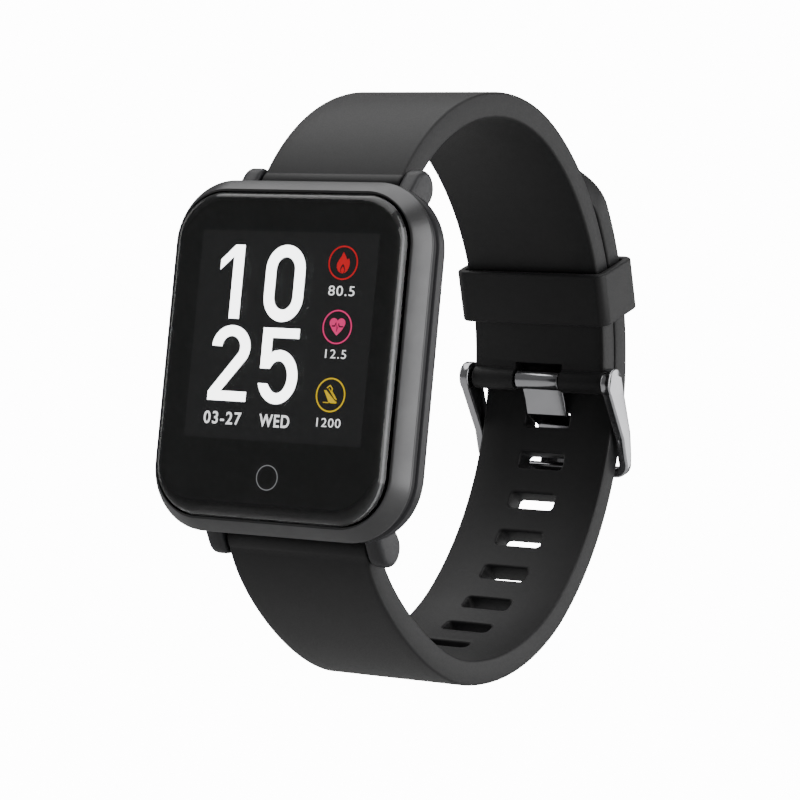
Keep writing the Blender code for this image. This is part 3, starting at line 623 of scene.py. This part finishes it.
def make_back():
    """Rear cover with a raised round plateau, and the smoked window over the sensors."""
    cover = stack("case_back", [
        (MID_BACK_Y + GAP, 15.5, 16.0, 6.0), (MID_BACK_Y + 0.9, 15.2, 15.8, 5.8),
        (COVER_BACK_Y - 0.25, 14.5, 15.15, 5.2), (COVER_BACK_Y - 0.08, 14.3, 15.0, 5.1),
        (COVER_BACK_Y, 14.05, 14.75, 4.9)], MATERIALS["case_plastic"], 18)
    plateau = disc("plateau", (0, 0), [
        (-1.6, PLATEAU_RADIUS), (-0.45, PLATEAU_RADIUS), (-0.28, PLATEAU_RADIUS - 0.07),
        (-0.12, PLATEAU_RADIUS - 0.25), (-0.05, PLATEAU_RADIUS - 0.5)], steps=72)
    carve(cover, "UNION", plateau)
    clear = SENSOR_RADIUS + GAP
    tools = [disc("pocket", (0, 0), [(-4, POCKET_RADIUS), (-0.95, POCKET_RADIUS)], steps=72),
             disc("window_hole", (0, 0), [(-2, clear), (1, clear)], steps=72)]
    for number, place in enumerate(SCREW_PLACES):
        tools += [disc(f"hole_{number}", place, [(-4, SCREW_HOLE_RADIUS), (1, SCREW_HOLE_RADIUS)],
                       steps=24),
                  disc(f"sink_{number}", place, [(-1.6, SCREW_SINK_RADIUS), (1, SCREW_SINK_RADIUS)],
                       steps=32)]
    for number, place in enumerate(CONTACT_PLACES):
        tools.append(disc(f"contact_{number}", place,
                          [(-4, CONTACT_HOLE_RADIUS), (1, CONTACT_HOLE_RADIUS)], steps=32))
    carve(cover, "DIFFERENCE", *tools)
    place_piece(cover, "case", "case_plastic", "rear_cover")
    window = disc("sensor_lens", (0, 0), [
        (-0.65, SENSOR_RADIUS), (-0.2, SENSOR_RADIUS), (-0.1, SENSOR_RADIUS - 0.06),
        (-0.05, SENSOR_RADIUS - 0.2), (-0.02, 5.0), (-0.005, 3.0), (0.0, 1.0)],
        MATERIALS["sensor_window"], 72)
    place_piece(window, "case", "sensor_window", "sensor_window")


# ---------------------------------------------------------------- picture

def ribbon(points, width):
    """Loop that outlines an open stroke of even width."""
    left = []
    right = []
    last = len(points) - 1
    for i, point in enumerate(points):
        here = Vector(point)
        before = Vector(points[max(i - 1, 0)])
        after = Vector(points[min(i + 1, last)])
        tangent_out = (after - here).normalized()
        tangent_in = (here - before).normalized() if (here - before).length else tangent_out
        if not tangent_out.length:
            tangent_out = tangent_in
        tangent = (tangent_in + tangent_out).normalized()
        reach = width / 2 / max(0.5, tangent.dot(tangent_in))
        normal = Vector((-tangent.y, tangent.x)) * reach
        left.append(tuple(here + normal))
        right.append(tuple(here - normal))
    return left + right[::-1]


def draw(name, loops, mat):
    """Thin lit shape on the picture, in (x, z) mm."""
    front = PRINT_FRONT_Y - 0.05
    moved = [[(x + PICTURE_SHIFT, z) for x, z in loop] for loop in loops]
    obj = flat_piece(name, moved, front - 0.02, front, mat)
    return place_piece(obj, "case", "display_panel")


FIGURE_HEIGHT = 0.729           # of the built-in typeface, as a share of its size


def write(name, text, place, height, mat, stretch=1.0, bolder=0.0, spacing=1.0):
    """Line of small figures, its lower left corner at place (x, z), all in mm."""
    curve = bpy.data.curves.new(name + "_text", "FONT")
    curve.body = text
    curve.size = height / FIGURE_HEIGHT * MM
    curve.offset = bolder * MM
    curve.space_character = spacing
    curve.extrude = 0.01 * MM
    source = bpy.data.objects.new(name + "_text", curve)
    bpy.context.collection.objects.link(source)
    depsgraph = bpy.context.evaluated_depsgraph_get()
    mesh = bpy.data.meshes.new_from_object(source.evaluated_get(depsgraph))
    bpy.data.objects.remove(source, do_unlink=True)
    mesh.transform(Matrix.Rotation(pi / 2, 4, "X") @ Matrix.Diagonal((stretch, 1, 1, 1)))
    low_x = min(vertex.co.x for vertex in mesh.vertices)
    low_z = min(vertex.co.z for vertex in mesh.vertices)
    mesh.transform(Matrix.Translation(((place[0] + PICTURE_SHIFT) * MM - low_x,
                                       (PRINT_FRONT_Y - 0.06) * MM, place[1] * MM - low_z)))
    mesh.name = name
    mesh.materials.clear()
    mesh.materials.append(mat)
    obj = bpy.data.objects.new(name, mesh)
    bpy.context.collection.objects.link(obj)
    place_piece(obj, "case", "display_panel")


def digit_outlines():
    """Outlines of the four large figures, each a list of loops in (x, z) mm."""
    one = [(-5.92, 12.27), (-7.15, 12.27), (-9.0, 10.55), (-9.0, 9.4), (-7.28, 10.95), (-7.28, 3.95),
           (-5.92, 3.95)]
    zero = []
    for inset, flip in ((0.0, 1), (1.35, -1)):
        half_x = 2.59 - inset
        ring = arc_points((-0.24, 9.6), (half_x, 2.8 - inset), 0, 180, 24)
        ring += arc_points((-0.24, 6.6), (half_x, 2.8 - inset), 180, 360, 24)
        zero.append(ring[::flip])
    outer = arc_points((-6.55, 0.75), (2.56, 2.45), 178, -32, 32)
    inner = arc_points((-6.55, 0.75), (1.22, 1.25), -28, 178, 26)
    foot = [(-7.45, -4.2), (-4.0, -4.2), (-4.0, -5.3), (-9.13, -5.3), (-9.13, -4.3)]
    two = [outer + foot + inner]
    outer = arc_points((-0.02, -2.35), (2.6, 3.02), 90, -165, 34)
    inner = arc_points((-0.02, -2.35), (1.28, 1.8), -158, 140, 26)
    flag = [(-2.42, 3.1), (2.36, 3.1), (2.36, 2.0), (-1.12, 2.0), (-1.12, 0.3), (-0.7, 0.55)]
    heel = [(-1.15, -1.46), (-2.42, -1.46)]
    five = [flag + outer + [(-1.32, -3.12)] + inner[2:] + heel]
    return {"figure_one": [one], "figure_zero": zero, "figure_two": two, "figure_five": five}


def make_picture():
    """Time, date, weekday and three daily totals with their ringed icons, and the touch ring."""
    white = glow_material("lit_white", (1.0, 1.0, 1.0), 6.0)
    soft_white = glow_material("lit_soft_white", (1.0, 1.0, 1.0), 1.5)
    # The touch ring is print on the glass, not part of the picture: its grey glow is painted light
    # standing in for the light it would catch.
    grey = glow_material("touch_print_painted_glow", (0.75, 0.76, 0.78), 0.35)
    red = glow_material("lit_red", (0.9, 0.004, 0.012), 0.8)
    pink = glow_material("lit_pink", (1.0, 0.035, 0.22), 1.0)
    yellow = glow_material("lit_yellow", (1.0, 0.66, 0.0), 0.9)
    dim = glow_material("lit_black", (0.95, 0.95, 1.0), 0.009)
    panel = flat_piece("picture_ground", [rounded_outline(PICTURE_HALF, PICTURE_HALF, 0.15, 3,
                                                          (0, PICTURE_CENTRE_Z))],
                       PRINT_FRONT_Y - 0.04, PRINT_FRONT_Y - 0.01, dim)
    place_piece(panel, "case", "display_panel")
    for name, loops in digit_outlines().items():
        draw(name, loops, white)
    write("date_figures", "03-27", (-9.35, -7.95), 1.42, soft_white, 0.98, 0.03, 1.16)
    write("day_letters", "WED", (-1.9, -7.95), 1.42, soft_white, 0.84, 0.04, 1.14)
    write("energy_figures", "80.5", (5.6, 6.95), 1.14, soft_white, 1.2, 0.0, 1.12)
    write("pulse_figures", "12.5", (5.95, 0.03), 1.02, soft_white, 1.14, 0.0, 1.16)
    write("steps_figures", "1200", (5.65, -7.55), 1.02, soft_white, 1.14, 0.0, 1.12)
    for name, centre, mat in (("energy_ring", (7.17, 10.6), red), ("pulse_ring", (7.17, 3.5), pink),
                              ("steps_ring", (7.14, -4.0), yellow)):
        draw(name, [circle_outline(1.9, 64, centre), circle_outline(1.74, 64, centre)], mat)
    # Printed touch ring, shown by a painted glow instead of being lit by the lamps.
    draw("touch_ring", [circle_outline(1.42, 64, (-0.15, -13.55)),
                        circle_outline(1.31, 64, (-0.15, -13.55))], grey)
    flame = [(7.12, 11.8), (7.45, 11.35), (7.62, 10.95), (7.9, 11.1), (8.03, 10.65), (7.98, 10.15),
             (7.75, 9.7), (7.4, 9.45), (7.52, 9.85), (7.36, 10.25), (7.18, 10.5), (6.95, 10.2),
             (6.84, 9.85), (6.98, 9.45), (6.62, 9.65), (6.4, 10.05), (6.4, 10.5), (6.62, 10.9),
             (6.9, 11.3)]
    draw("flame_icon", [flame], red)
    core = [(7.18, 10.2), (7.4, 9.85), (7.32, 9.5), (7.16, 9.4), (7.02, 9.52), (6.96, 9.82)]
    draw("flame_core", [core], red)
    heart = arc_points((6.68, 3.95), 0.53, 210, 20, 16)
    heart += arc_points((7.66, 3.95), 0.53, 160, -30, 16)
    heart += [(7.75, 3.1), (7.18, 2.55), (6.6, 3.1)]
    beat = [(6.45, 3.6), (6.85, 3.6), (6.98, 3.95), (7.15, 3.05), (7.33, 3.85), (7.45, 3.55),
            (7.95, 3.55)]
    draw("heart_icon", [heart, ribbon(beat, 0.15)], pink)
    sole = [(6.25, -3.5), (6.55, -3.5), (7.75, -4.62), (8.0, -4.72), (7.95, -4.9), (7.2, -4.9),
            (6.95, -4.75)]
    draw("shoe_sole", [sole], yellow)
    upper = [(6.6, -3.25), (7.0, -2.95), (7.3, -3.3), (7.25, -3.6), (7.55, -3.95), (7.95, -4.5)]
    draw("shoe_upper", [ribbon(upper, 0.12)], yellow)
    draw("shoe_lace", [ribbon([(6.85, -3.3), (7.75, -4.42)], 0.08)], yellow)
    draw("shoe_ground", [ribbon([(6.25, -4.85), (6.98, -4.85)], 0.1)], yellow)


# ---------------------------------------------------------------- strap

def bezier(points, steps):
    curve = []
    for i in range(steps + 1):
        t = i / steps
        weights = ((1 - t) ** 3, 3 * t * (1 - t) ** 2, 3 * t * t * (1 - t), t ** 3)
        curve.append(tuple(sum(w * p[k] for w, p in zip(weights, points)) for k in (0, 1)))
    return curve


def upper_path():
    """Centre line of the 12 o'clock half, from its spring bar to the buckle pin."""
    end = arc_point(INNER_LAYER_RADIUS, INNER_ARC_START)
    controls = [UPPER_AXIS, ahead(UPPER_AXIS, 62, 12.7), ahead(end, INNER_ARC_START + 90, 13.4), end]
    return bezier(controls, 44) + arc_points(ARC_CENTRE, INNER_LAYER_RADIUS, INNER_ARC_START,
                                             BUCKLE_ANGLE + 0.6, 48)[1:]


def lower_path():
    """Centre line of the 6 o'clock half, from its spring bar to the tail's tip."""
    end = arc_point(OUTER_LAYER_RADIUS, OUTER_ARC_START)
    first = [LOWER_AXIS, ahead(LOWER_AXIS, -68, 6), ahead(LOOP_BOTTOM_YZ, 180, 8.5), LOOP_BOTTOM_YZ]
    second = [LOOP_BOTTOM_YZ, ahead(LOOP_BOTTOM_YZ, 0, 11.4),
              ahead(end, OUTER_ARC_START - 90, 4), end]
    tail = arc_points(ARC_CENTRE, OUTER_LAYER_RADIUS, OUTER_ARC_START, TAIL_END_ANGLE, 88)
    return bezier(first, 30) + bezier(second, 30)[1:] + tail[1:]


def path_frames(path):
    """Points with unit tangents and the distance run so far."""
    frames = []
    run = 0.0
    for i, point in enumerate(path):
        before = Vector(path[max(i - 1, 0)])
        after = Vector(path[min(i + 1, len(path) - 1)])
        if i:
            run += (Vector(point) - before).length
        frames.append((Vector(point), (after - before).normalized(), run))
    return frames


def frame_at(frames, distance):
    """Point and tangent at a distance along the path."""
    for first, second in zip(frames, frames[1:]):
        if distance <= second[2]:
            share = (distance - first[2]) / (second[2] - first[2])
            return first[0].lerp(second[0], share), first[1].lerp(second[1], share).normalized()
    return frames[-1][0], frames[-1][1]


def band_outline(total, tip_length, inset):
    """Flat outline (x, run) of a strap half, with an elliptical end if it has a tip length."""
    half = STRAP_HALF - inset
    if not tip_length:
        return [(half, 0.0), (half, total), (-half, total), (-half, 0.0)]
    base = total - tip_length
    tip = arc_points((0, base), (half, tip_length - inset), 0, 180, 40)
    return [(half, 0.0)] + tip + [(-half, 0.0)]


def lay_strap(name, frames, tip_length, slot_runs):
    """Cut the band flat with rounded edges and slots, then lay it along its path."""
    total = frames[-1][2]
    half_thick = STRAP_THICK / 2
    edge = STRAP_EDGE
    turns = (0, 30, 60, 90)
    levels = [(-half_thick + edge * (1 - cos(radians(a))), edge * (1 - sin(radians(a)))) for a in turns]
    levels += [(-height, inset) for height, inset in reversed(levels)]
    bm = bmesh.new()
    stacks = []
    for number, (height, inset) in enumerate(levels):
        loops = [band_outline(total, tip_length, inset)]
        for run in slot_runs:
            grow = inset * 0.8
            loops.append(rounded_outline(SLOT_HALF_LENGTH + grow, SLOT_HALF_HEIGHT + grow,
                                         SLOT_CORNER + grow, 6, (0, run)))
        if number in (0, len(levels) - 1):
            stacks.append(cut_sheet(bm, loops, height))
        else:
            stacks.append([[bm.verts.new((u, height, v)) for u, v in loop] for loop in loops])
    for lower, upper in zip(stacks, stacks[1:]):
        for first, second in zip(lower, upper):
            for i in range(len(first)):
                j = (i + 1) % len(first)
                bm.faces.new((first[i], first[j], second[j], second[i]))
    for _, _, run in frames[1:-1]:
        bmesh.ops.bisect_plane(bm, geom=bm.verts[:] + bm.edges[:] + bm.faces[:],
                               plane_co=(0, 0, run), plane_no=(0, 0, 1), dist=1e-5)
    for vertex in bm.verts:
        x, height, run = vertex.co
        point, tangent = frame_at(frames, run)
        vertex.co = (x, point.x + height * tangent.y, point.y - height * tangent.x)
    return new_object(name, bm, MATERIALS["silicone"])


def make_upper_strap():
    strap = lay_strap("strap_buckle_half", path_frames(upper_path()), 0, [])
    carve(strap, "UNION", soft_rod("knuckle", UPPER_AXIS, KNUCKLE_RADIUS, STRAP_HALF, STRAP_EDGE),
          soft_rod("tube", PIN_YZ, TUBE_RADIUS, STRAP_HALF, TUBE_EDGE))
    notch = capsule_outline(PIN_YZ, NOTCH_RADIUS, arc_point(PIN_ARC_RADIUS, 0), NOTCH_RADIUS)
    carve(strap, "DIFFERENCE", rod("bore", UPPER_AXIS, BAR_BORE, -PAST, PAST),
          rod("tube_bore", PIN_YZ, TUBE_BORE, -PAST, PAST),
          bar_along_x("notch", notch, -NOTCH_HALF_X, NOTCH_HALF_X))
    place_piece(strap, "upper_strap", "silicone", "strap_upper")


def make_lower_strap():
    frames = path_frames(lower_path())
    arc_left = radians(TAIL_END_ANGLE - TONGUE_SLOT_ANGLE) * OUTER_LAYER_RADIUS
    tongue_run = frames[-1][2] - arc_left
    runs = [tongue_run + (SLOTS_ABOVE_TONGUE - number) * SLOT_PITCH for number in range(SLOT_COUNT)]
    strap = lay_strap("strap_slotted_half", frames, TAIL_TIP_LENGTH, runs)
    carve(strap, "UNION", soft_rod("knuckle", LOWER_AXIS, KNUCKLE_RADIUS, STRAP_HALF, STRAP_EDGE))
    carve(strap, "DIFFERENCE", rod("bore", LOWER_AXIS, BAR_BORE, -PAST, PAST))
    place_piece(strap, "lower_strap", "silicone", "strap_lower")


def make_keeper():
    """Straight-sided loop with rounded rims."""
    low = SEAM_RADIUS - STRAP_THICK - GAP / 2 - 1.5 * GAP
    high = SEAM_RADIUS + STRAP_THICK + 1.5 * GAP
    middle = (low + high) / 2
    half_open = (high - low) / 2
    rings = []
    for across, height in rounded_outline(KEEPER_WALL / 2, KEEPER_HALF_HEIGHT, 0.32, 5):
        grow = across + KEEPER_WALL / 2
        ring = []
        for u, v in rounded_outline(KEEPER_HALF_X - KEEPER_WALL + grow, half_open + grow,
                                    0.5 + 0.8 * grow, 10):
            ring.append((u, *ahead(arc_point(middle + v, KEEPER_ANGLE), KEEPER_ANGLE + 90, height)))
        rings.append(ring)
    keeper = loft("strap_keeper", rings, MATERIALS["silicone"], closed=True)
    place_piece(keeper, "keeper", "silicone", "keeper_loop")


# ---------------------------------------------------------------- buckle

def arm_ring(x, point, across, tangent, half_deep, half_wide):
    """Section of the frame: across is its sideways direction as (x, along the arm)."""
    normal = Vector((tangent.y, -tangent.x))
    ring = []
    for u, v in rounded_outline(half_wide, half_deep, 0.3, 5):
        place = point + tangent * u * across[1] + normal * v
        ring.append((x + u * across[0], place.x, place.y))
    return ring


def make_buckle():
    """Polished U: two flat arms with round heads that taper into the closed bar."""
    half_wide = (ARM_OUTER_X - ARM_INNER_X) / 2
    middle_x = ARM_INNER_X + half_wide
    turn = BUCKLE_CORNER - half_wide
    corners = [(PIN_YZ, ARM_HEAD_RADIUS), (ARM_KNEE_YZ, ARM_KNEE_RADIUS),
               (CLOSED_BAR_YZ, CLOSED_BAR_RADIUS)]
    line = []
    for (start, deep), (end, shallow) in zip(corners, corners[1:]):
        for i in range(12):
            share = i / 12
            line.append((Vector(start).lerp(Vector(end), share), deep + (shallow - deep) * share))
    line.append((Vector(CLOSED_BAR_YZ), CLOSED_BAR_RADIUS))
    frames = path_frames([tuple(point) for point, _ in line])
    end, forward, _ = frames[-1]
    rings = []
    for (point, tangent, _), (_, half) in zip(frames, line):
        if (end - point).length > BUCKLE_CORNER:
            rings.append(arm_ring(middle_x, point, (1, 0), tangent, half, half_wide))
    for step in range(11):
        lean = radians(9 * step)
        point = end + forward * turn * (sin(lean) - 1)
        rings.append(arm_ring(middle_x - turn * (1 - cos(lean)), point, (cos(lean), sin(lean)), forward,
                              CLOSED_BAR_RADIUS, half_wide))
    mirrored = [[(-x, y, z) for x, y, z in ring] for ring in reversed(rings)]
    buckle = loft("buckle_bow", rings + mirrored, MATERIALS["buckle_steel"])
    heads = []
    for side in (-1, 1):
        profile = []
        for x, drop in ((ARM_INNER_X, 0.15), (ARM_INNER_X + 0.05, 0.05), (ARM_INNER_X + 0.15, 0),
                        (ARM_OUTER_X - 0.15, 0), (ARM_OUTER_X - 0.05, 0.05), (ARM_OUTER_X, 0.15)):
            profile.append((side * x, ARM_HEAD_RADIUS - drop))
        heads.append(turned_x(f"head_{side}", PIN_YZ, profile, steps=56))
    carve(buckle, "UNION", *heads)
    carve(buckle, "DIFFERENCE", rod("pin_hole", PIN_YZ, PIN_RADIUS + 0.25, -PIN_HALF_X - 0.1,
                                    PIN_HALF_X + 0.1))
    place_piece(buckle, "buckle", "buckle_steel", "buckle_frame")
    pin = soft_rod("buckle_axle", PIN_YZ, PIN_RADIUS, PIN_HALF_X, 0.15, MATERIALS["buckle_steel"])
    place_piece(pin, "buckle", "buckle_steel", "buckle_pin")


def thicken(line, thickness):
    """Closed outline around an open (y, z) polyline."""
    left = []
    right = []
    for i, point in enumerate(line):
        before = line[max(i - 1, 0)]
        after = line[min(i + 1, len(line) - 1)]
        tangent = Vector((after[0] - before[0], after[1] - before[1])).normalized()
        normal = (tangent.y * thickness / 2, -tangent.x * thickness / 2)
        left.append((point[0] + normal[0], point[1] + normal[1]))
        right.append((point[0] - normal[0], point[1] - normal[1]))
    return left + right[::-1]


def make_tongue():
    """Barrel on the pin with a flat prong through a slot to the closed bar."""
    slot_y, slot_z = arc_point(OUTER_LAYER_RADIUS, TONGUE_SLOT_ANGLE)
    bar_y, bar_z = CLOSED_BAR_YZ
    rest = CLOSED_BAR_RADIUS + GAP + TONGUE_THICK / 2 + 0.1
    route = [(PIN_YZ[0] + 0.8, PIN_YZ[1] - 0.6), (slot_y - 2.35, slot_z + 2.4),
             (slot_y - 1.65, slot_z + 0.85), (slot_y + 1.45, slot_z - 0.35),
             (slot_y + 2.85, slot_z - 2.0), (bar_y + rest, bar_z + 1.0), (bar_y + rest, bar_z - 0.9)]
    prong = bar_along_x("prong", thicken(route, TONGUE_THICK), -TONGUE_HALF_X, TONGUE_HALF_X)
    soften(prong, 0.12, 3, 60)
    tongue = soft_rod("buckle_prong", PIN_YZ, BARREL_RADIUS, BARREL_HALF_X, 0.12,
                      MATERIALS["buckle_steel"])
    carve(tongue, "UNION", prong)
    carve(tongue, "DIFFERENCE", rod("barrel_bore", PIN_YZ, BARREL_BORE, -PAST, PAST))
    place_piece(tongue, "tongue", "buckle_steel", "buckle_tongue")


# ---------------------------------------------------------------- camera and light

CAMERA_LENS = 142.3             # on a 36 mm sensor
CAMERA_AZIMUTH = 31.27          # degrees
CAMERA_ELEVATION = -3.33
CAMERA_ROLL = 5.3
CAMERA_TARGET = (-1.94, 20.0, -2.08)
CAMERA_DISTANCE = 0.3766        # metres
LIGHT_TARGET = (0.0, 0.02, 0.0)
SURROUND_LIGHT = 0.15           # what the object receives from the white surround
SURROUND_WHITE = 14.0           # what the eye sees of it

def place_camera():
    camera = bpy.data.objects.new("camera", bpy.data.cameras.new("camera"))
    bpy.context.collection.objects.link(camera)
    camera.data.sensor_width = 36
    camera.data.lens = CAMERA_LENS
    camera.data.clip_start = 0.01
    azimuth = radians(CAMERA_AZIMUTH)
    elevation = radians(CAMERA_ELEVATION)
    roll = radians(CAMERA_ROLL)
    back = Vector((sin(azimuth) * cos(elevation), -cos(azimuth) * cos(elevation), sin(elevation)))
    camera.location = Vector(CAMERA_TARGET) * MM + back * CAMERA_DISTANCE
    turn = (-back).to_track_quat("-Z", "Y").to_matrix() @ Matrix.Rotation(roll, 3, "Z")
    camera.rotation_euler = turn.to_euler()
    bpy.context.scene.camera = camera


def softbox(name, place, size, power):
    """Rectangular light aimed at the watch; place and size in metres, power in watts."""
    light = bpy.data.lights.new(name, "AREA")
    light.shape = "RECTANGLE"
    light.size = size[0]
    light.size_y = size[1]
    light.energy = power
    obj = bpy.data.objects.new(name, light)
    bpy.context.collection.objects.link(obj)
    obj.location = place
    obj.rotation_euler = (Vector(LIGHT_TARGET) - Vector(place)).to_track_quat("-Z", "Y").to_euler()


def light_studio():
    """Surround that looks white but lights the watch weakly, with four soft boxes."""
    world = bpy.data.worlds.new("studio")
    bpy.context.scene.world = world
    world.use_nodes = True
    tree = world.node_tree
    surround = tree.nodes["Background"]
    surround.inputs["Color"].default_value = (1, 1, 1, 1)
    path = tree.nodes.new("ShaderNodeLightPath")
    strength = spread(tree, path.outputs["Is Camera Ray"], SURROUND_LIGHT, SURROUND_WHITE, 0.0, 1.0)
    tree.links.new(strength, surround.inputs["Strength"])
    softbox("key", (0.6, 0.05, 0.12), (0.5, 0.7), 3.2)
    softbox("top", (-0.1, 0.0, 0.6), (0.8, 0.7), 3.1)
    softbox("fill", (-0.6, -0.1, 0.1), (0.25, 0.6), 0.8)
    softbox("back", (0.36, 0.6, 0.03), (0.3, 0.5), 0.85)


FLOOR_Z = -130.0
FLOOR_RADIUS = 2600.0


def make_floor():
    """Pale round floor, far enough below that the watch's shadow hardly shows."""
    rings = [[(u, v, z) for u, v in circle_outline(radius, 96)]
             for radius, z in ((FLOOR_RADIUS, FLOOR_Z - 1), (FLOOR_RADIUS, FLOOR_Z),
                               (40, FLOOR_Z + 0.01))]
    mat = grained("floor", (0.55, 0.55, 0.55), 0.7, vary=0.01, patch=3, grain=400, depth=0.0005)
    tree = mat.node_tree
    shader = tree.nodes[SHADER]
    shader.inputs["Emission Color"].default_value = (1, 1, 1, 1)
    path = tree.nodes.new("ShaderNodeLightPath")
    glow = spread(tree, path.outputs["Is Camera Ray"], 0.0, SURROUND_WHITE, 0.0, 1.0)
    tree.links.new(glow, shader.inputs["Emission Strength"])
    floor = loft("floor", rings, mat)


paint_nodes()
make_glass()
make_bezel()
make_case()
make_back()
make_picture()
make_upper_strap()
make_lower_strap()
make_keeper()
make_buckle()
make_tongue()
make_floor()
place_camera()
light_studio()
